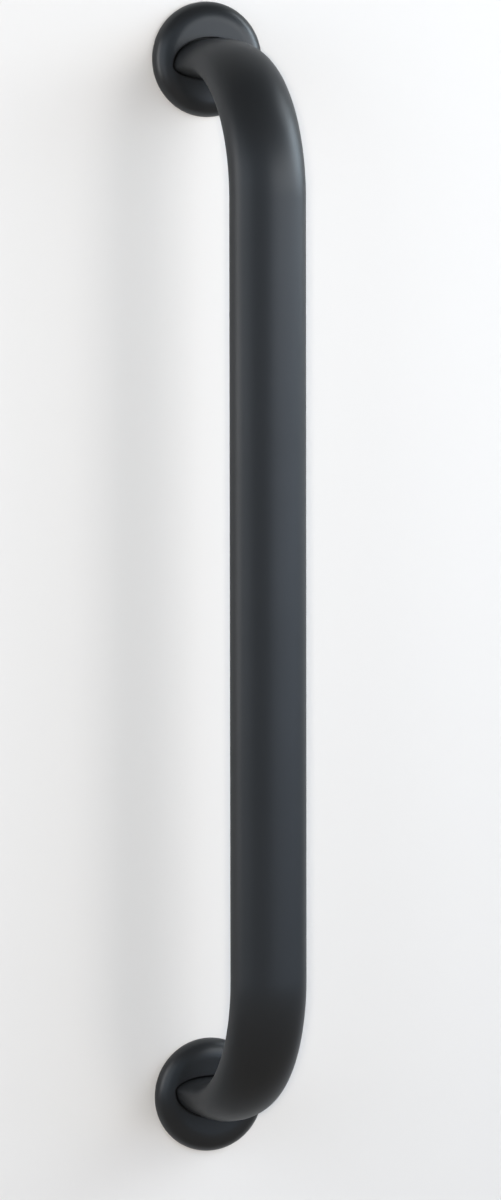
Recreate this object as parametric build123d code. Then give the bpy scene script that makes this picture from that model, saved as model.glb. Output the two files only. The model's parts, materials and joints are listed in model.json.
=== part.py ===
"""Wall grab bar: one oval tube bent to the wall at both ends, welded to two screw plates under slide-on covers.

Millimetres. The wall is the plane Y = 0 and the bar stands out along -Y, with +Z up. The origin is the centre of
the lower screw plate's back face. "Out" below is the distance from the wall, measured along -Y.
"""

from build123d import *
import os
from math import sqrt

os.makedirs("parts", exist_ok=True)

# Bar
centre_spacing = 600.0  # between the centres of the two wall plates
standoff = 104.0  # wall to the middle of the tube's depth along the grip
bend_radius = 80.0  # at the middle of the tube's depth
tube_width = 45.0  # across the hand, parallel to the wall
tube_depth = 23.0  # in the plane of the bends
tube_skew = 4.0  # from the middle of the depth to the widest line, which lies nearer to the wall
tube_wall = 2.0
tube_end_setback = 1.0  # the tube's cut end stops short of the wall inside its plate

# Wall plates
plate_thickness = 4.0
plate_edge_gap = 1.0  # between the plate's edge and the inside of its cover
plate_edge_chamfer = 0.8
socket_clearance = 0.05  # around the tube in the plate's oval socket
weld_leg = 1.8  # fillet weld round the tube on the plate's front
weld_toe = 0.25  # flat left at the top of the weld

# Screw holes in each plate, on a rectangle
screw_spacing_x = 22.0
screw_offset = 6.5  # from the tube's broad sides to the screws' centres
screw_hole_diameter = 5.5
screw_head_diameter = 10.0
screw_head_angle = 90.0

# Covers
cover_flat_margin = 0.8  # flat top left beyond the hole's narrow ends
cover_height = 10.0
cover_skirt = 1.0  # straight, from the wall to the foot of the rounded shoulder
cover_wall = 1.4
cover_foot_gap = 0.2  # left open to the wall
cover_foot_round = 0.4
hole_gap = 0.8  # around the tube
hole_lip_gap = 0.5  # from the edge turned in round the hole to the top of the weld
hole_edge_round = 0.6

# Rubber rings that grip the covers
ring_section = 2.0
ring_height = 1.8  # out from the wall, at the section's centre
ring_clearance = 0.05  # to the inside of the cover
ring_seat_clearance = 0.03  # to the groove

OUT = Vector(0, -1, 0)
ENDS = {"lower": 0.0, "upper": centre_spacing}


def facing_plane(out, height):
    """Plane parallel to the wall, facing into the room, with its own y pointing to the bar's middle."""
    across = 1 if height < centre_spacing / 2 else -1
    return Plane(origin=(0, -out, height), x_dir=(across, 0, 0), z_dir=OUT)


def oval(growth):
    """The tube's outer oval, grown by a distance on every side: two half ellipses that meet at its widest line."""
    half_width = tube_width / 2 + growth
    wall_side = tube_depth / 2 - tube_skew + growth
    hand_side = tube_depth / 2 + tube_skew + growth
    return make_face(
        [
            EllipticalCenterArc((0, tube_skew), half_width, wall_side, start_angle=0, arc_size=180),
            EllipticalCenterArc((0, tube_skew), half_width, hand_side, start_angle=180, arc_size=180),
        ]
    )


def oval_column(growth, low, high, height):
    """Solid with the oval's outline, between two distances from the wall."""
    return extrude(facing_plane(low, height) * oval(growth), amount=high - low)


def cover_inner_radius(out):
    """Radius of the cover's inside at a distance from the wall, on its skirt or its shoulder."""
    inner_shoulder = cover_shoulder - cover_wall
    rise = max(out - cover_skirt, 0.0)
    return cover_radius - cover_shoulder + sqrt(inner_shoulder**2 - rise**2)


screw_spacing_z = tube_depth + 2 * screw_offset
cover_shoulder = cover_height - cover_skirt  # radius of the rounding from the flat top to the skirt
cover_radius = tube_width / 2 + hole_gap + cover_flat_margin + cover_shoulder
ring_centre_radius = cover_inner_radius(ring_height) - ring_clearance - ring_section / 2
plate_radius = cover_inner_radius(0.0) - plate_edge_gap


def grab_tube():
    """Hollow oval tube swept from the lower plate round both bends to the upper plate."""
    route = FilletPolyline(
        (0, -tube_end_setback, 0),
        (0, -standoff, 0),
        (0, -standoff, centre_spacing),
        (0, -tube_end_setback, centre_spacing),
        radius=bend_radius,
    )
    section = facing_plane(tube_end_setback, 0) * (oval(0) - oval(-tube_wall))
    return sweep(section, path=route)


def screw_points(height):
    """Centres of a plate's screw holes, on its front face."""
    return facing_plane(plate_thickness, height) * GridLocations(screw_spacing_x, screw_spacing_z, 2, 2)


def weld(height):
    """Fillet weld round the tube, sloping from the plate's front up to the tube's side."""
    foot = facing_plane(plate_thickness, height) * oval(weld_leg)
    top = facing_plane(plate_thickness + weld_leg, height) * oval(weld_toe)
    return loft([foot, top], ruled=True)


def wall_plate(height):
    """Round steel plate with an oval socket for the tube, countersunk screw holes and an edge groove."""
    disc = extrude(facing_plane(0, height) * Circle(plate_radius), amount=plate_thickness)
    front_rim = disc.faces().sort_by(Axis.Y)[0].edges()
    plate = chamfer(front_rim, plate_edge_chamfer) + weld(height)
    plate -= oval_column(socket_clearance, -1, plate_thickness + weld_leg + 1, height)
    plate -= [
        spot
        * CounterSinkHole(
            radius=screw_hole_diameter / 2,
            counter_sink_radius=screw_head_diameter / 2,
            depth=plate_thickness,
            counter_sink_angle=screw_head_angle,
        )
        for spot in screw_points(height)
    ]
    groove = Torus(ring_centre_radius, ring_section / 2 + ring_seat_clearance)
    return plate - facing_plane(ring_height, height) * groove


def grip_ring(height):
    """Rubber ring seated half deep in the plate's edge, which holds the cover by friction."""
    return facing_plane(ring_height, height) * Torus(ring_centre_radius, ring_section / 2)


def cover_shell(height):
    """Shallow round shell: flat top, wide rounded shoulder and a short skirt down to the wall."""
    rim = cover_radius
    flat = rim - cover_shoulder
    start = cover_skirt
    foot = cover_foot_gap
    profile = Plane(origin=(0, 0, height), x_dir=(1, 0, 0), z_dir=(0, 0, 1)) * make_face(
        [
            Line((rim - cover_wall, -foot), (rim, -foot)),
            Line((rim, -foot), (rim, -start)),
            CenterArc((flat, -start), cover_shoulder, 0, -90),
            Line((flat, -cover_height), (0, -cover_height)),
            Line((0, -cover_height), (0, cover_wall - cover_height)),
            Line((0, cover_wall - cover_height), (flat, cover_wall - cover_height)),
            CenterArc((flat, -start), cover_shoulder - cover_wall, -90, 90),
            Line((rim - cover_wall, -start), (rim - cover_wall, -foot)),
        ]
    )
    shell = revolve(profile, Axis((0, 0, height), (0, 1, 0)))
    foot_edge = shell.edges().filter_by(GeomType.CIRCLE).sort_by(lambda e: (round(e.center().Y, 3), e.radius))[-1]
    return fillet(foot_edge, cover_foot_round)


def cover(height):
    """Slide-on cover with an oval hole for the tube, whose edge is rounded over and turned in."""
    lip_end = plate_thickness + weld_leg + hole_lip_gap
    lip = oval_column(hole_gap + cover_wall, lip_end, cover_height - cover_wall / 2, height)
    shell = cover_shell(height) + lip - oval_column(hole_gap, lip_end - 1, cover_height + 1, height)
    hole_edge = shell.faces().sort_by(Axis.Y)[0].inner_wires()[0].edges()
    return fillet(hole_edge, hole_edge_round)


export_step(grab_tube(), "parts/grab_tube.step")
for end, height in ENDS.items():
    export_step(wall_plate(height), f"parts/{end}_wall_plate.step")
    export_step(grip_ring(height), f"parts/{end}_grip_ring.step")
    export_step(cover(height), f"parts/{end}_cover.step")
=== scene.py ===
"""Looks of a wall grab bar in matt dark grey powder coat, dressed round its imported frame.

Metres, in the frame's own axes: the wall is the plane Y = 0, the bar stands out along -Y and +Z is up.
"Out" is the distance from the wall. Every new surface of the bar is a grid of points, worked out with numpy
and closed on itself.
"""

import json
import logging
import math
from dataclasses import dataclass, field
from enum import Enum

import bpy
import numpy as np
from mathutils import Matrix, Vector

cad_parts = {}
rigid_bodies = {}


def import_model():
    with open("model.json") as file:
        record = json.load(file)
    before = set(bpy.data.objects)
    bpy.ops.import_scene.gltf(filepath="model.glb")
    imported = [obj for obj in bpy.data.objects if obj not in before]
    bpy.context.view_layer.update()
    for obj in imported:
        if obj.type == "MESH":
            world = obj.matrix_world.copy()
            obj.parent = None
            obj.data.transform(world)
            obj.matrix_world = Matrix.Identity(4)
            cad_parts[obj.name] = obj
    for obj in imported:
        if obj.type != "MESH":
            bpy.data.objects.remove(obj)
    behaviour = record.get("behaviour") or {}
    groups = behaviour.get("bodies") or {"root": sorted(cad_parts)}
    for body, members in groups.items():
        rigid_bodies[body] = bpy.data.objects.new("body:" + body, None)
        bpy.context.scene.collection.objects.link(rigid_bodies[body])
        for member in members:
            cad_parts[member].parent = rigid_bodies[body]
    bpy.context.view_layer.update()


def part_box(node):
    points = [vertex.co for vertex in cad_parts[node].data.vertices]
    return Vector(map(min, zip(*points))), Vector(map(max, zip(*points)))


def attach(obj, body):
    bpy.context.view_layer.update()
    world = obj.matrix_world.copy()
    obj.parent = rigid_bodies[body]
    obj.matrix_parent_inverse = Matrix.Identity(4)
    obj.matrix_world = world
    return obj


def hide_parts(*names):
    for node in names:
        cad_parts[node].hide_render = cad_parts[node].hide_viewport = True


LOG = logging.getLogger("grab_bar")
MM = 0.001
FULL_TURN = 2 * math.pi
COVER_ROUGHNESS = 0.33  # a little glossier than the bar

Colour = tuple[float, float, float]
Span = tuple[float, float]
Material = bpy.types.Material
Node = bpy.types.Node
Socket = bpy.types.NodeSocket


class End(Enum):
    """The two ends of the bar, named as its pieces are."""

    LOWER = "lower"
    UPPER = "upper"

    @property
    def outward(self) -> int:
        """Sign of the height in which the hand's side of the tube's leg lies at this end."""
        return 1 if self is End.UPPER else -1


class Slot(Enum):
    """Material slots of the record."""

    BAR = "bar_coat"
    COVER = "cover_coat"
    PLATE = "plate_coat"
    RING = "ring_rubber"


def add_object(name: str, data: bpy.types.ID) -> bpy.types.Object:
    """Puts a mesh, a lamp or a camera into the scene as an object at the origin.

    Args:
        name: The object's name.
        data: What it shows.

    Returns:
        The new object.
    """
    made = bpy.data.objects.new(name, data)
    bpy.context.scene.collection.objects.link(made)
    return made


def torus_mesh(name: str, grid: np.ndarray) -> bpy.types.Mesh:
    """Makes a closed mesh of a grid of points that wraps round in both directions.

    Each cell of the grid is one face. The faces point outwards: the volume inside them, summed as the triple
    products of their corners, is turned positive.

    Args:
        name: The mesh's name.
        grid: Points in metres, with the shape (rows, columns, 3).

    Returns:
        A smooth-shaded mesh.
    """
    rows, columns = grid.shape[:2]
    row, column = np.meshgrid(np.arange(rows), np.arange(columns), indexing="ij")
    next_row, next_column = (row + 1) % rows, (column + 1) % columns
    corners = [
        row * columns + column,
        next_row * columns + column,
        next_row * columns + next_column,
        row * columns + next_column,
    ]
    faces = np.stack([c.ravel() for c in corners], axis=-1)
    points = grid.reshape(-1, 3)
    p, q, r, s = (points[faces[:, i]] for i in range(4))
    volume = (np.cross(p, q) * r).sum() + (np.cross(p, r) * s).sum()
    if volume < 0:
        faces = faces[:, ::-1]
    mesh = bpy.data.meshes.new(name)
    mesh.from_pydata(points.tolist(), [], faces.tolist())
    mesh.polygons.foreach_set("use_smooth", np.ones(len(faces), bool))
    mesh.update()
    return mesh


def plane_mesh(name: str, centre: Vector, side: Vector, up: Vector) -> bpy.types.Mesh:
    """Makes one flat rectangle.

    Args:
        name: The mesh's name.
        centre: Middle of the rectangle.
        side: Half of its width, as a vector.
        up: Half of its height, as a vector. The face points along side x up.

    Returns:
        The mesh.
    """
    corners = [centre - side - up, centre + side - up, centre + side + up, centre - side + up]
    mesh = bpy.data.meshes.new(name)
    mesh.from_pydata([tuple(c) for c in corners], [], [(0, 1, 2, 3)])
    mesh.update()
    return mesh


def arc(centre: Span, radius: float, start: float, stop: float, steps: int) -> np.ndarray:
    """Points on an arc in a profile's plane: the centre plus the radius times cosine and sine of the angle.

    Args:
        centre: The arc's centre, as radius and out.
        radius: The arc's radius.
        start: First angle in degrees, from the radius axis towards out.
        stop: Last angle in degrees.
        steps: How many stretches the arc is divided into.

    Returns:
        Points with the shape (steps + 1, 2).
    """
    angle = np.radians(np.linspace(start, stop, steps + 1))
    return np.stack([centre[0] + radius * np.cos(angle), centre[1] + radius * np.sin(angle)], axis=-1)


def stretch(start: Span, stop: Span, steps: int) -> np.ndarray:
    """Points on a straight stretch of a profile, evenly mixed from its ends, without its last one."""
    share = np.linspace(0, 1, steps, endpoint=False)[:, None]
    return np.array(start) * (1 - share) + np.array(stop) * share


class NodeBench:
    """Short ways to put nodes into a tree, which lays them out in rows as they are made."""

    ROW_LENGTH = 8
    COLUMN_STEP = 220
    ROW_STEP = 260

    # Places of the colour sockets on a Mix node
    MIX_FACTOR = 0
    MIX_FIRST = 6
    MIX_SECOND = 7
    MIX_RESULT = 2

    def __init__(self, tree: bpy.types.NodeTree) -> None:
        """Takes a tree and empties it."""
        self.tree = tree
        self.tree.nodes.clear()
        self.made = 0

    def add(self, kind: str, **values: object) -> Node:
        """Adds a node and sets its own properties.

        Args:
            kind: The node's type name.
            values: Properties of the node.

        Returns:
            The node.
        """
        node = self.tree.nodes.new(kind)
        for key, value in values.items():
            setattr(node, key, value)
        row, column = divmod(self.made, self.ROW_LENGTH)
        node.location = (self.COLUMN_STEP * column, -self.ROW_STEP * row)
        self.made += 1
        return node

    def link(self, source: Socket, target: Socket) -> None:
        """Joins two sockets."""
        self.tree.links.new(source, target)

    def feed(self, socket: Socket, value: object) -> None:
        """Links a socket, or sets its own value where the value is a plain number or colour."""
        if isinstance(value, Socket):
            self.link(value, socket)
        else:
            socket.default_value = value

    def math(self, operation: str, first: object, second: object = 0.0) -> Socket:
        """Adds a Math node and returns its output."""
        node = self.add("ShaderNodeMath", operation=operation)
        self.feed(node.inputs[0], first)
        self.feed(node.inputs[1], second)
        return node.outputs[0]

    def ramp(self, value: Socket, span: Span, ends: Span = (0.0, 1.0)) -> Socket:
        """Adds a smooth Map Range, which carries the span to the ends and stays at them beyond it.

        Args:
            value: What it reads.
            span: The values at which the change starts and stops.
            ends: What it puts out at these values.

        Returns:
            Its output.
        """
        node = self.add("ShaderNodeMapRange", interpolation_type="SMOOTHSTEP")
        self.link(value, node.inputs["Value"])
        for name, item in zip(("From Min", "From Max", "To Min", "To Max"), (*span, *ends)):
            node.inputs[name].default_value = item
        return node.outputs[0]

    def mix_colour(self, factor: Socket, first: object, second: object) -> Socket:
        """Adds a Mix node for colours.

        Args:
            factor: Share of the second one.
            first: A socket, or a colour of three numbers.
            second: The same.

        Returns:
            Its output.
        """
        node = self.add("ShaderNodeMix", data_type="RGBA")
        self.link(factor, node.inputs[self.MIX_FACTOR])
        for place, value in ((self.MIX_FIRST, first), (self.MIX_SECOND, second)):
            self.feed(node.inputs[place], (*value, 1) if isinstance(value, tuple) else value)
        return node.outputs[self.MIX_RESULT]

    def mix_shader(self, factor: Socket, first: Node, second: Node) -> Node:
        """Adds a Mix Shader node, whose factor is the share of the second shader, and returns it."""
        node = self.add("ShaderNodeMixShader")
        for socket, source in zip(node.inputs, (factor, first.outputs[0], second.outputs[0])):
            self.link(source, socket)
        return node

    def noise(self, vector: Socket, scale: object, detail: float) -> Socket:
        """Adds a 3-D noise texture and returns its value."""
        node = self.add("ShaderNodeTexNoise")
        self.link(vector, node.inputs["Vector"])
        self.feed(node.inputs["Scale"], scale)
        node.inputs["Detail"].default_value = detail
        return node.outputs[0]

    def show(self, shader: Node, output: str = "ShaderNodeOutputMaterial") -> None:
        """Adds the tree's output node and gives it the shader."""
        self.link(shader.outputs[0], self.add(output).inputs["Surface"])


def new_material(name: str) -> tuple[Material, NodeBench]:
    """Makes a material without nodes and a bench to give it some."""
    material = bpy.data.materials.new(name)
    material.use_nodes = True
    return material, NodeBench(material.node_tree)


class PowderPeel:
    """Skin of a sprayed powder coat, as a node group: the soft ripple of orange peel over a fine grain."""

    NAME = "powder_peel"
    INPUTS = ("Ripple Scale", "Grain Scale", "Grain Share")
    OUTPUTS = ("Height", "Cloud")
    PEEL_DETAIL = 1.0
    CLOUD_SCALE = 14.0
    CLOUD_DETAIL = 3.0

    @classmethod
    def group(cls) -> bpy.types.NodeTree:
        """Makes the group once and finds it again after that.

        Height is a broad noise plus a share of a fine one. Cloud is a slow noise, for faint shifts of colour
        and gloss.

        Returns:
            The group, with the inputs and outputs that the class names.
        """
        found = bpy.data.node_groups.get(cls.NAME)
        if found:
            return found
        group = bpy.data.node_groups.new(cls.NAME, "ShaderNodeTree")
        for name in cls.INPUTS:
            group.interface.new_socket(name, in_out="INPUT", socket_type="NodeSocketFloat")
        for name in cls.OUTPUTS:
            group.interface.new_socket(name, in_out="OUTPUT", socket_type="NodeSocketFloat")
        bench = NodeBench(group)
        given = bench.add("NodeGroupInput").outputs
        result = bench.add("NodeGroupOutput").inputs
        place = bench.add("ShaderNodeTexCoord").outputs["Object"]
        ripple = bench.noise(place, given["Ripple Scale"], cls.PEEL_DETAIL)
        grain = bench.noise(place, given["Grain Scale"], cls.PEEL_DETAIL)
        fine = bench.math("MULTIPLY", grain, given["Grain Share"])
        bench.link(bench.math("ADD", ripple, fine), result["Height"])
        bench.link(bench.noise(place, cls.CLOUD_SCALE, cls.CLOUD_DETAIL), result["Cloud"])
        return group


@dataclass(frozen=True)
class PowderCoat:
    """Matt sprayed coat on steel, with orange peel and a faint cloudiness."""

    name: str
    light: Colour = (0.0190, 0.0200, 0.0215)
    dark: Colour = (0.0170, 0.0180, 0.0194)
    tint_span: Span = (0.35, 0.65)  # of the cloud, over which dark turns light
    gloss_span: Span = (0.3, 0.7)  # of the cloud, over which the roughness falls
    roughness: float = 0.40
    roughness_swing: float = 0.02
    specular_level: float = 0.5
    ripple_scale: float = 520.0
    grain_scale: float = 3600.0
    grain_share: float = 0.25
    peel_height: float = 0.012 * MM
    peel_strength: float = 0.5

    def build(self) -> Material:
        """Makes the material.

        Returns:
            A material with one Principled BSDF.
        """
        material, bench = new_material(self.name)
        shader = bench.add("ShaderNodeBsdfPrincipled")
        skin = bench.add("ShaderNodeGroup", node_tree=PowderPeel.group())
        for name, value in zip(PowderPeel.INPUTS, (self.ripple_scale, self.grain_scale, self.grain_share)):
            skin.inputs[name].default_value = value
        cloud = skin.outputs["Cloud"]
        tint = bench.mix_colour(bench.ramp(cloud, self.tint_span), self.dark, self.light)
        bench.link(tint, shader.inputs["Base Color"])
        ends = (self.roughness + self.roughness_swing, self.roughness - self.roughness_swing)
        bench.link(bench.ramp(cloud, self.gloss_span, ends), shader.inputs["Roughness"])
        shader.inputs["Specular IOR Level"].default_value = self.specular_level
        bump = bench.add("ShaderNodeBump")
        bump.inputs["Strength"].default_value = self.peel_strength
        bump.inputs["Distance"].default_value = self.peel_height
        bench.link(skin.outputs["Height"], bump.inputs["Height"])
        bench.link(bump.outputs[0], shader.inputs["Normal"])
        bench.show(shader)
        return material


@dataclass(frozen=True)
class RingRubber:
    """Smooth black rubber with a dull bloom in patches."""

    name: str = "ring_rubber"
    fresh: Colour = (0.012, 0.012, 0.012)
    bloom: Colour = (0.030, 0.030, 0.031)
    bloom_scale: float = 180.0
    bloom_detail: float = 4.0
    bloom_span: Span = (0.45, 0.75)  # of the noise, over which fresh rubber turns dull
    roughness: Span = (0.55, 0.80)  # fresh and dull

    def build(self) -> Material:
        """Makes the material.

        Returns:
            A material with one Principled BSDF.
        """
        material, bench = new_material(self.name)
        shader = bench.add("ShaderNodeBsdfPrincipled")
        place = bench.add("ShaderNodeTexCoord").outputs["Object"]
        patch = bench.ramp(bench.noise(place, self.bloom_scale, self.bloom_detail), self.bloom_span)
        bench.link(bench.mix_colour(patch, self.fresh, self.bloom), shader.inputs["Base Color"])
        bench.link(bench.ramp(patch, (0.0, 1.0), self.roughness), shader.inputs["Roughness"])
        bench.show(shader)
        return material


def dress(piece: bpy.types.Object, material: Material) -> None:
    """Gives a piece its only material."""
    piece.data.materials.clear()
    piece.data.materials.append(material)


@dataclass(frozen=True)
class OvalSection:
    """The tube's outer oval: two half ellipses joined at its widest line, the deeper on the hand's side."""

    half_width: float
    half_depth: float
    skew: float

    def at(self, t: np.ndarray, growth: float | np.ndarray = 0.0) -> tuple[np.ndarray, np.ndarray]:
        """Works out points of the oval, or of one grown by a distance on every side.

        Across is (half width + growth) cos t. Lift is (half depth +- skew + growth) sin t - skew, with the
        plus on the hand's side, where sin t is positive.

        Args:
            t: Angles round the oval.
            growth: How far it is grown, as a number or an array that spreads over the angles.

        Returns:
            Across and lift, the second one positive towards the hand.
        """
        reach = self.half_depth + np.where(np.sin(t) >= 0, self.skew, -self.skew) + growth
        return (self.half_width + growth) * np.cos(t), reach * np.sin(t) - self.skew


@dataclass
class GrabTube:
    """The oval tube, from the lower plate out along its leg, up the grip and back to the upper plate."""

    coat: Material
    skew: float = 4 * MM  # from the middle of the depth to the widest line
    bend_radius: float = 80 * MM
    wall: float = 2 * MM
    leg_steps: int = 6
    bend_steps: int = 72
    grip_steps: int = 24  # along half of the grip
    round_steps: int = 160
    section: OvalSection = field(init=False)
    standoff: float = field(init=False)
    start_out: float = field(init=False)
    top: float = field(init=False)

    def __post_init__(self) -> None:
        """Reads the tube's outer sizes off its CAD node."""
        low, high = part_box("grab_tube")
        self.section = OvalSection((high.x - low.x) / 2, -low.z, self.skew)
        self.standoff = -low.y - self.section.half_depth
        self.start_out = -high.y
        self.top = high.z - self.section.half_depth

    def route(self) -> tuple[np.ndarray, np.ndarray]:
        """Works out the centre line, which lies in the plane X = 0.

        Half of it is a straight leg, a quarter circle and half of the grip. The rest is its mirror image.

        Returns:
            Points as (out, height), and the unit vectors along the tube at them.
        """
        reach = self.standoff - self.bend_radius
        leg = np.linspace(self.start_out, reach, self.leg_steps, endpoint=False)
        turn = np.linspace(0, math.pi / 2, self.bend_steps + 1)
        grip = np.linspace(self.bend_radius, self.top / 2, self.grip_steps + 1)[1:]
        bend = [reach + self.bend_radius * np.sin(turn), self.bend_radius * (1 - np.cos(turn))]
        points = np.concatenate(
            [
                np.stack([leg, np.zeros_like(leg)], axis=-1),
                np.stack(bend, axis=-1),
                np.stack([np.full_like(grip, self.standoff), grip], axis=-1),
            ]
        )
        along = np.concatenate(
            [
                np.tile([1.0, 0.0], (len(leg), 1)),
                np.stack([np.cos(turn), np.sin(turn)], axis=-1),
                np.tile([0.0, 1.0], (len(grip), 1)),
            ]
        )
        mirrored = points[-2::-1] * [1, -1] + [0, self.top]
        mirrored_along = along[-2::-1] * [-1, 1]
        return np.concatenate([points, mirrored]), np.concatenate([along, mirrored_along])

    def skin(self, growth: float) -> np.ndarray:
        """Carries the oval along the centre line.

        A point is the centre line's own, plus the oval's across along X and its lift along the outer side of
        the line.

        Args:
            growth: How far the oval is grown on every side.

        Returns:
            Points with the shape (stations, round_steps, 3).
        """
        centre, along = self.route()
        outer = np.stack([along[:, 1], -along[:, 0]], axis=-1)
        t = np.linspace(0, FULL_TURN, self.round_steps, endpoint=False)
        across, lift = self.section.at(t, growth)
        out = centre[:, None, 0] + lift * outer[:, None, 0]
        height = centre[:, None, 1] + lift * outer[:, None, 1]
        return np.stack([np.broadcast_to(across, out.shape), -out, height], axis=-1)

    def build(self) -> bpy.types.Object:
        """Makes the tube as one closed wall: its outside, its two cut ends and its inside.

        Returns:
            The piece, which stands for the CAD tube.
        """
        grid = np.concatenate([self.skin(0.0), self.skin(-self.wall)[::-1]])
        piece = add_object("oval_grab_tube", torus_mesh("oval_grab_tube", grid))
        dress(piece, self.coat)
        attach(piece, "bar")
        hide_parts("grab_tube")
        return piece


@dataclass(frozen=True)
class CoverSteps:
    """How many stretches each part of a cover's outline is divided into."""

    straight: int = 3
    foot: int = 5
    shoulder: int = 32
    top: int = 13
    hole_edge: int = 8
    lip_end: int = 3
    lip_back: int = 2
    inner_shoulder: int = 22


@dataclass
class Cover:
    """A pressed cover: skirt, soft shoulder, flat top and a hole whose edge is turned in round the tube."""

    end: End
    tube: GrabTube
    coat: Material
    skirt: float = 1.0 * MM
    wall: float = 1.4 * MM
    foot_round: float = 0.4 * MM
    hole_gap: float = 0.8 * MM
    hole_round: float = 0.6 * MM
    lip_depth: float = 3.7 * MM  # from the flat top to the inner end of the turned-in edge
    lip_round: float = 0.3 * MM
    flat: float = 21.8 * MM  # radius of the level top
    fullness: float = 2.05  # power of the shoulder's superellipse; 2 would be an ellipse
    rim_margin: float = 0.3 * MM  # from the hole's ends to the circle where the shoulder's points start
    round_steps: int = 220
    steps: CoverSteps = CoverSteps()
    radius: float = field(init=False)
    height: float = field(init=False)
    foot: float = field(init=False)
    centre: float = field(init=False)
    shoulder: float = field(init=False)

    def __post_init__(self) -> None:
        """Reads the cover's outer sizes off its CAD node."""
        low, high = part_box(self.node)
        self.radius = (high.x - low.x) / 2
        self.height = -low.y
        self.foot = -high.y
        self.centre = (low.z + high.z) / 2
        self.shoulder = self.height - self.skirt

    @property
    def node(self) -> str:
        """Name of the CAD node and of the body, which is the same."""
        return f"{self.end.value}_cover"

    def rise(self, radius: np.ndarray, inset: float | np.ndarray) -> np.ndarray:
        """Works out how far the top stands out at a radius.

        It is level up to the flat's radius. Beyond, it falls as a superellipse does: the way beyond the flat
        and the height over the skirt, each as a share of its most and raised to the fullness, add up to 1.

        Args:
            radius: Distances from the leg's axis.
            inset: How far the surface lies inside the outer one: 0, or the wall for the inside.

        Returns:
            Out values.
        """
        width = self.radius - self.flat - inset
        share = np.clip((radius - self.flat) / width, 0, 1)
        return self.skirt + (self.shoulder - inset) * (1 - share**self.fullness) ** (1 / self.fullness)

    def shoulder_line(self, rim: float, inset: float, steps: int) -> np.ndarray:
        """Points down the shoulder by even turns of the superellipse, from a circle on its top to the skirt.

        At a turn u the way beyond the flat is its most times sin u, and the height over the skirt its most
        times cos u, with sine and cosine raised to 2 over the fullness.

        Args:
            rim: The circle's radius.
            inset: How far the surface lies inside the outer one.
            steps: How many stretches it is divided into.

        Returns:
            Points as radius and out, with the shape (steps + 1, 2).
        """
        width = self.radius - self.flat - inset
        first = math.asin(((rim - self.flat) / width) ** (self.fullness / 2))
        turn = np.linspace(first, math.pi / 2, steps + 1)
        beyond = width * np.sin(turn) ** (2 / self.fullness)
        over = (self.shoulder - inset) * np.cos(turn) ** (2 / self.fullness)
        return np.stack([self.flat + beyond, self.skirt + over], axis=-1)

    def hole_line(self, under: float, lip_end: float) -> np.ndarray:
        """Points round the hole's edge: over its round, down the lip, round the lip's end and back up.

        Args:
            under: Out of the flat top's inside.
            lip_end: Out of the lip's inner end.

        Returns:
            Points as growth of the oval and out.
        """
        steps, small = self.steps, self.lip_round
        back = self.hole_gap + self.wall
        edge = self.hole_gap + self.hole_round
        parts = [
            arc((edge, self.height - self.hole_round), self.hole_round, 90, 180, steps.hole_edge),
            stretch((self.hole_gap, under), (self.hole_gap, lip_end + small), steps.straight),
            arc((self.hole_gap + small, lip_end + small), small, 180, 270, steps.lip_end),
            arc((back - small, lip_end + small), small, 270, 360, steps.lip_end),
            stretch((back, lip_end + 2 * small), (back, under), steps.lip_back),
        ]
        return np.concatenate(parts)

    def profile(self) -> np.ndarray:
        """Works out the closed outline of the cover's wall.

        A point with a share of 0 lies on a circle. One with a share of 1 lies on the hole's oval, grown by a
        distance. On the top in between, the two are mixed. A point with a sag of 1 follows the top's fall.

        Returns:
            Rows of circle radius, growth of the oval, share, out, sag and inset.
        """
        steps = self.steps
        back = self.hole_gap + self.wall
        edge = self.hole_gap + self.hole_round
        outer_rim = self.tube.section.half_width + edge + self.rim_margin
        inner_rim = self.tube.section.half_width + back + self.rim_margin
        inner_skirt = self.radius - self.wall
        outer_foot = self.radius - self.foot_round
        under = self.height - self.wall
        lip_end = self.height - self.lip_depth
        skirt = [
            stretch((inner_skirt, self.foot), (outer_foot, self.foot), steps.straight),
            arc((outer_foot, self.foot + self.foot_round), self.foot_round, -90, 0, steps.foot),
            self.shoulder_line(outer_rim, 0.0, steps.shoulder)[::-1],
        ]
        inside = [
            self.shoulder_line(inner_rim, self.wall, steps.inner_shoulder),
            stretch((inner_skirt, self.skirt), (inner_skirt, self.foot), steps.straight)[1:],
        ]
        skirt, inside = np.concatenate(skirt), np.concatenate(inside)
        hole = self.hole_line(under, lip_end)
        blend = np.linspace(0, 1, steps.top + 1)[1:-1]
        sag = np.clip((hole[:, 1] - lip_end) / (under - lip_end), 0, 1)
        parts = [
            (skirt[:, 0], 0.0, 0.0, skirt[:, 1], 0.0, 0.0),
            (outer_rim, edge, blend, self.height, 1.0, 0.0),
            (0.0, hole[:, 0], 1.0, hole[:, 1], sag, 0.0),
            (inner_rim, back, blend[::-1], under, 1.0, self.wall),
            (inside[:, 0], 0.0, 0.0, inside[:, 1], 0.0, 0.0),
        ]
        return np.concatenate([np.stack(np.broadcast_arrays(*part), axis=-1) for part in parts])

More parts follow.
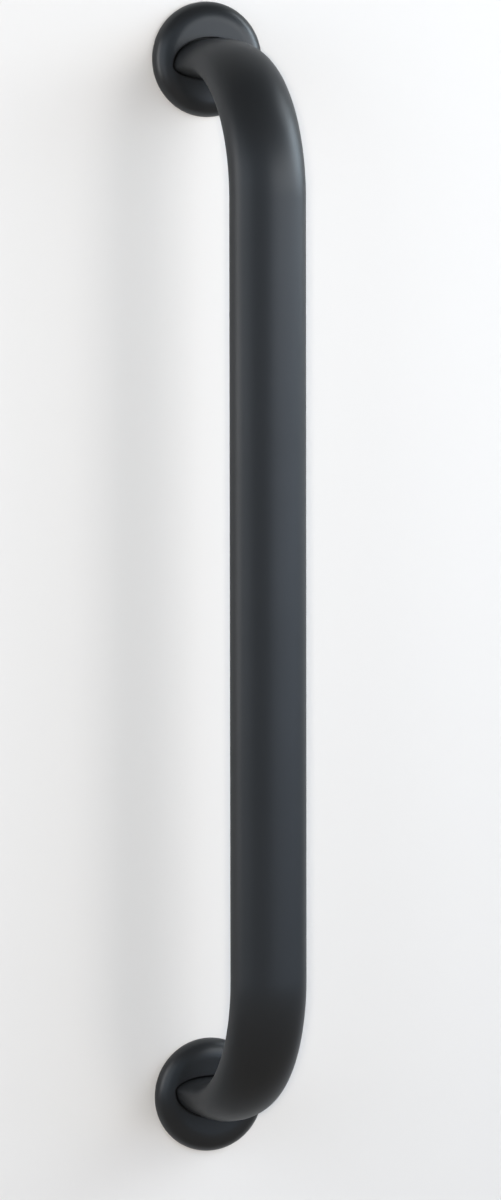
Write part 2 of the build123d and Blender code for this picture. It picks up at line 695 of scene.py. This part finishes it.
    def build(self) -> bpy.types.Object:
        """Turns the outline about the leg's axis.

        At an angle t, a circle's point is r (cos t, sin t) and the hole's is on the tube's oval, grown by a
        distance. A mixed point is a straight mix of the two. Where the outline sags, out is less by the top's
        fall there.

        Returns:
            The piece, which stands for the CAD cover.
        """
        circle, growth, share, out, sag, inset = self.profile().T[:, :, None]
        t = np.linspace(0, FULL_TURN, self.round_steps, endpoint=False)
        hole_across, hole_lift = self.tube.section.at(t, growth)
        across = (1 - share) * circle * np.cos(t) + share * hole_across
        lift = (1 - share) * circle * np.sin(t) + share * hole_lift
        fall = self.height - inset - self.rise(np.hypot(across, lift), inset)
        grid = np.stack([across, sag * fall - out, self.centre + self.end.outward * lift], axis=-1)
        piece = add_object(f"{self.node}_shell", torus_mesh(f"{self.node}_shell", grid))
        dress(piece, self.coat)
        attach(piece, self.node)
        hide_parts(self.node)
        return piece


@dataclass
class WallFixing:
    """What a cover hides: the screw plate, its rubber ring and the weld bead round the tube."""

    end: End
    tube: GrabTube
    coat: Material
    rubber: Material
    bead_radius: float = 1.15 * MM
    bead_middle: float = 0.5 * MM  # of its round section, out from the plate and away from the tube
    ripple_height: float = 0.10 * MM
    ripples: int = 96
    plate_thickness: float = 4 * MM
    round_steps: int = 960
    section_steps: int = 14

    def bead(self) -> np.ndarray:
        """Works out the weld bead, a ring with a round section that follows the oval's foot on the plate.

        The section's radius swells along the ring as a row of overlapping scales: by the sine of a quarter
        turn over each ripple, which rises ever more slowly and drops at once.

        Returns:
            Points with the shape (section_steps, round_steps, 3).
        """
        t = np.linspace(0, FULL_TURN, self.round_steps, endpoint=False)
        turn = np.linspace(0, FULL_TURN, self.section_steps, endpoint=False)[:, None]
        scale = np.sin((t * self.ripples / FULL_TURN % 1.0) * math.pi / 2)
        radius = self.bead_radius + self.ripple_height * scale
        growth = self.bead_middle + radius * np.cos(turn)
        out = self.plate_thickness + self.bead_middle + radius * np.sin(turn)
        across, lift = self.tube.section.at(t, growth)
        low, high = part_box(f"{self.end.value}_wall_plate")
        return np.stack([across, -out, (low.z + high.z) / 2 + self.end.outward * lift], axis=-1)

    def build(self) -> list[bpy.types.Object]:
        """Dresses the CAD plate and ring and adds the bead.

        Returns:
            The three pieces.
        """
        nodes = bpy.data.objects
        plate = nodes[f"{self.end.value}_wall_plate"]
        ring = nodes[f"{self.end.value}_grip_ring"]
        dress(plate, self.coat)
        dress(ring, self.rubber)
        name = f"{self.end.value}_weld_bead"
        bead = add_object(name, torus_mesh(name, self.bead()))
        dress(bead, self.coat)
        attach(bead, "bar")
        return [plate, ring, bead]


@dataclass(frozen=True)
class SoftBox:
    """A rectangular lamp that faces the middle of the bar."""

    name: str
    azimuth: float  # degrees from straight in front, positive to the right
    elevation: float  # degrees
    distance: float
    width: float
    height: float
    radiance: float
    colour: Colour = (1.0, 1.0, 1.0)
    mirrored: bool = True  # shows in the gloss of the pieces

    def hang(self, middle: Vector) -> None:
        """Hangs the lamp, turned to the bar's middle."""
        lamp = bpy.data.lights.new(self.name, "AREA")
        lamp.shape = "RECTANGLE"
        lamp.size = self.width
        lamp.size_y = self.height
        lamp.color = self.colour
        lamp.energy = self.radiance * math.pi * self.width * self.height
        made = add_object(self.name, lamp)
        azimuth, rise = math.radians(self.azimuth), math.radians(self.elevation)
        level = math.cos(rise)
        aim = Vector((math.sin(azimuth) * level, -math.cos(azimuth) * level, math.sin(rise)))
        turned = aim.to_track_quat("Z", "Y").to_matrix().to_4x4()
        made.matrix_world = Matrix.Translation(middle + aim * self.distance) @ turned
        made.visible_glossy = self.mirrored


SOFT_BOXES = (
    SoftBox("window_top", 43, 22, 1.40, 1.56, 0.54, 2.50, (0.96, 1.00, 1.03)),
    SoftBox("window_bottom", 40, 0, 1.40, 1.70, 0.54, 1.15, (0.83, 1.00, 1.24)),
    SoftBox("side_window", 82, 26, 1.40, 0.56, 0.62, 5.3, (0.84, 1.00, 1.12)),
    SoftBox("side_window_top", 84, 44, 1.40, 0.42, 0.50, 3.5, (0.92, 1.00, 1.06)),
    SoftBox("side_window_bottom", 87, 4, 1.40, 0.26, 0.46, 1.6, (0.90, 1.00, 1.10)),
    SoftBox("left_wall_glow", -54, 11, 1.40, 0.91, 1.13, 0.92, (0.90, 1.00, 1.10)),
    SoftBox("left_window", -83, 12, 1.40, 0.40, 1.12, 3.4),
    SoftBox("front_fill", -20, 4, 3.0, 0.25, 0.25, 155.5, (1.10, 1.00, 0.86), mirrored=False),
    SoftBox("shadow_lamp", 22, 5, 3.0, 0.7, 0.7, 6.4, (1.05, 1.00, 0.94), mirrored=False),
)


@dataclass
class Studio:
    """The white wall, pale floor, soft light and camera."""

    middle_height: float = 0.3  # of the bar

    # The wall, whose colour is one to the camera and another to the bar, which mirrors it; the mirrored one
    # carries painted shade above and below the bar's ends
    wall_seen: Colour = (0.880, 0.860, 0.845)
    wall_mirrored: Colour = (0.60, 0.60, 0.60)
    # Painted shade: the mirrored wall colour above and below the bar's ends
    wall_painted_shade: Colour = (0.32, 0.32, 0.32)  # mirrored, above and below the bar's ends
    wall_fade: Span = (0.31, 0.42)  # heights from the bar's middle between which it dims so
    wall_roughness: float = 0.9
    wall_specular_level: float = 0.1
    wall_back: float = 0.3 * MM
    wall_half_width: float = 0.75
    wall_half_height: float = 0.62
    see_through_length: float = 1.0 * MM

    floor_seen: Colour = (0.86, 0.86, 0.86)
    floor_drop: float = 0.75
    floor_half_size: float = 4.0

    # The room, by the direction a ray looks in: its back and up parts run from -1 to 1
    background: Colour = (0.93, 0.93, 0.93)  # to the camera
    room_front: Colour = (0.25, 0.33, 0.43)
    room_below: Colour = (0.18, 0.16, 0.14)
    room_above: Colour = (0.02, 0.02, 0.02)
    room_behind: Colour = (1.00, 1.00, 1.00)
    below_fade: Span = (-0.35, -0.05)
    above_fade: Span = (0.40, 0.70)
    behind_fade: Span = (0.15, 0.45)

    camera_azimuth: float = 19.924
    camera_distance: float = 3.2827
    camera_rise: float = 0.2177
    camera_yaw: float = 20.363
    camera_pitch: float = 3.998
    camera_roll: float = -0.078
    camera_lens: float = 170.52
    camera_sensor: float = 36.0
    camera_reach: float = 50.0

    def wall(self) -> None:
        """Puts up the wall just behind the plates' backs.

        It lets rays through from behind, and those that start right at its front. The camera sees it in one
        colour, and the bar mirrors a duller one, which dims further above and below the bar's ends: painted
        shade on the wall that the bar mirrors.
        """
        centre = Vector((0, self.wall_back, self.middle_height))
        side, up = Vector((self.wall_half_width, 0, 0)), Vector((0, 0, self.wall_half_height))
        wall = add_object("stage_wall", plane_mesh("stage_wall", centre, side, up))
        material, bench = new_material("stage_wall")
        paint = bench.add("ShaderNodeBsdfPrincipled")
        paint.inputs["Roughness"].default_value = self.wall_roughness
        paint.inputs["Specular IOR Level"].default_value = self.wall_specular_level
        clear = bench.add("ShaderNodeBsdfTransparent")
        behind = bench.add("ShaderNodeNewGeometry").outputs["Backfacing"]
        path = bench.add("ShaderNodeLightPath").outputs
        close = bench.math("LESS_THAN", path["Ray Length"], self.see_through_length)
        axes = bench.add("ShaderNodeSeparateXYZ")
        bench.link(bench.add("ShaderNodeTexCoord").outputs["Object"], axes.inputs[0])
        away = bench.math("ABSOLUTE", bench.math("SUBTRACT", axes.outputs["Z"], self.middle_height))
        # Painted shade: the wall colour that the bar mirrors darkens above and below the bar's ends
        mirrored = bench.mix_colour(bench.ramp(away, self.wall_fade), self.wall_mirrored, self.wall_painted_shade)
        colour = bench.mix_colour(path["Is Camera Ray"], mirrored, self.wall_seen)
        bench.link(colour, paint.inputs["Base Color"])
        bench.show(bench.mix_shader(bench.math("MAXIMUM", behind, close), paint, clear))
        wall.data.materials.append(material)

    def floor(self) -> None:
        """Lays the floor well below the bar: plain and pale to the camera from above, clear from below."""
        centre = Vector((0, 0, -self.floor_drop))
        side, up = Vector((self.floor_half_size, 0, 0)), Vector((0, self.floor_half_size, 0))
        floor = add_object("stage_floor", plane_mesh("stage_floor", centre, side, up))
        material, bench = new_material("stage_floor")
        glow = bench.add("ShaderNodeEmission")
        glow.inputs["Color"].default_value = (*self.floor_seen, 1)
        clear = bench.add("ShaderNodeBsdfTransparent")
        behind = bench.add("ShaderNodeNewGeometry").outputs["Backfacing"]
        bench.show(bench.mix_shader(behind, glow, clear))
        floor.data.materials.append(material)
        floor.visible_glossy = False
        floor.visible_diffuse = False
        floor.visible_shadow = False

    def room(self) -> None:
        """Lights the scene with a room: bluish in front, dim below, nearly dark above and bright behind."""
        world = bpy.data.worlds.new("studio_room")
        bpy.context.scene.world = world
        world.use_nodes = True
        bench = NodeBench(world.node_tree)
        axes = bench.add("ShaderNodeSeparateXYZ")
        bench.link(bench.add("ShaderNodeTexCoord").outputs["Generated"], axes.inputs[0])
        _, back, up = axes.outputs
        lower = bench.mix_colour(bench.ramp(up, self.below_fade), self.room_below, self.room_front)
        front = bench.mix_colour(bench.ramp(up, self.above_fade), lower, self.room_above)
        colour = bench.mix_colour(bench.ramp(back, self.behind_fade), front, self.room_behind)
        light = bench.add("ShaderNodeBackground")
        bench.link(colour, light.inputs["Color"])
        seen = bench.add("ShaderNodeBackground")
        seen.inputs["Color"].default_value = (*self.background, 1)
        to_camera = bench.add("ShaderNodeLightPath").outputs["Is Camera Ray"]
        bench.show(bench.mix_shader(to_camera, light, seen), "ShaderNodeOutputWorld")

    def camera(self) -> None:
        """Stands the camera where the photograph's stood: left of the bar and a little above its middle."""
        azimuth, yaw, pitch = map(math.radians, (self.camera_azimuth, self.camera_yaw, self.camera_pitch))
        place = Vector(
            (
                -math.sin(azimuth) * self.camera_distance,
                -math.cos(azimuth) * self.camera_distance,
                self.middle_height + self.camera_rise,
            )
        )
        level = math.cos(pitch)
        back = Vector((-math.sin(yaw) * level, -math.cos(yaw) * level, math.sin(pitch)))
        side = Vector((0, 0, 1)).cross(back).normalized()
        up = back.cross(side)
        axes = Matrix((side, up, back)).transposed().to_4x4()
        data = bpy.data.cameras.new("camera")
        data.sensor_width = self.camera_sensor
        data.lens = self.camera_lens
        data.clip_end = self.camera_reach
        made = add_object("camera", data)
        roll = Matrix.Rotation(math.radians(self.camera_roll), 4, "Z")
        made.matrix_world = Matrix.Translation(place) @ axes @ roll
        bpy.context.scene.camera = made

    def build(self) -> None:
        """Sets up all of it."""
        bpy.context.scene.view_settings.view_transform = "Standard"
        self.wall()
        self.floor()
        self.room()
        for box in SOFT_BOXES:
            box.hang(Vector((0, 0, self.middle_height)))
        self.camera()


def main() -> None:
    """Builds every piece in order, then the studio round them."""
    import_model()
    bar_coat = PowderCoat("bar_powder_coat").build()
    cover_coat = PowderCoat("cover_powder_coat", roughness=COVER_ROUGHNESS).build()
    plate_coat = PowderCoat("plate_powder_coat").build()
    rubber = RingRubber().build()
    tube = GrabTube(bar_coat)
    tube.build()
    for end in End:
        Cover(end, tube, cover_coat).build()
        for piece in WallFixing(end, tube, plate_coat, rubber).build():
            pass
    Studio().build()


if __name__ == "__main__":
    logging.basicConfig(level=logging.INFO, format="%(message)s")
    main()
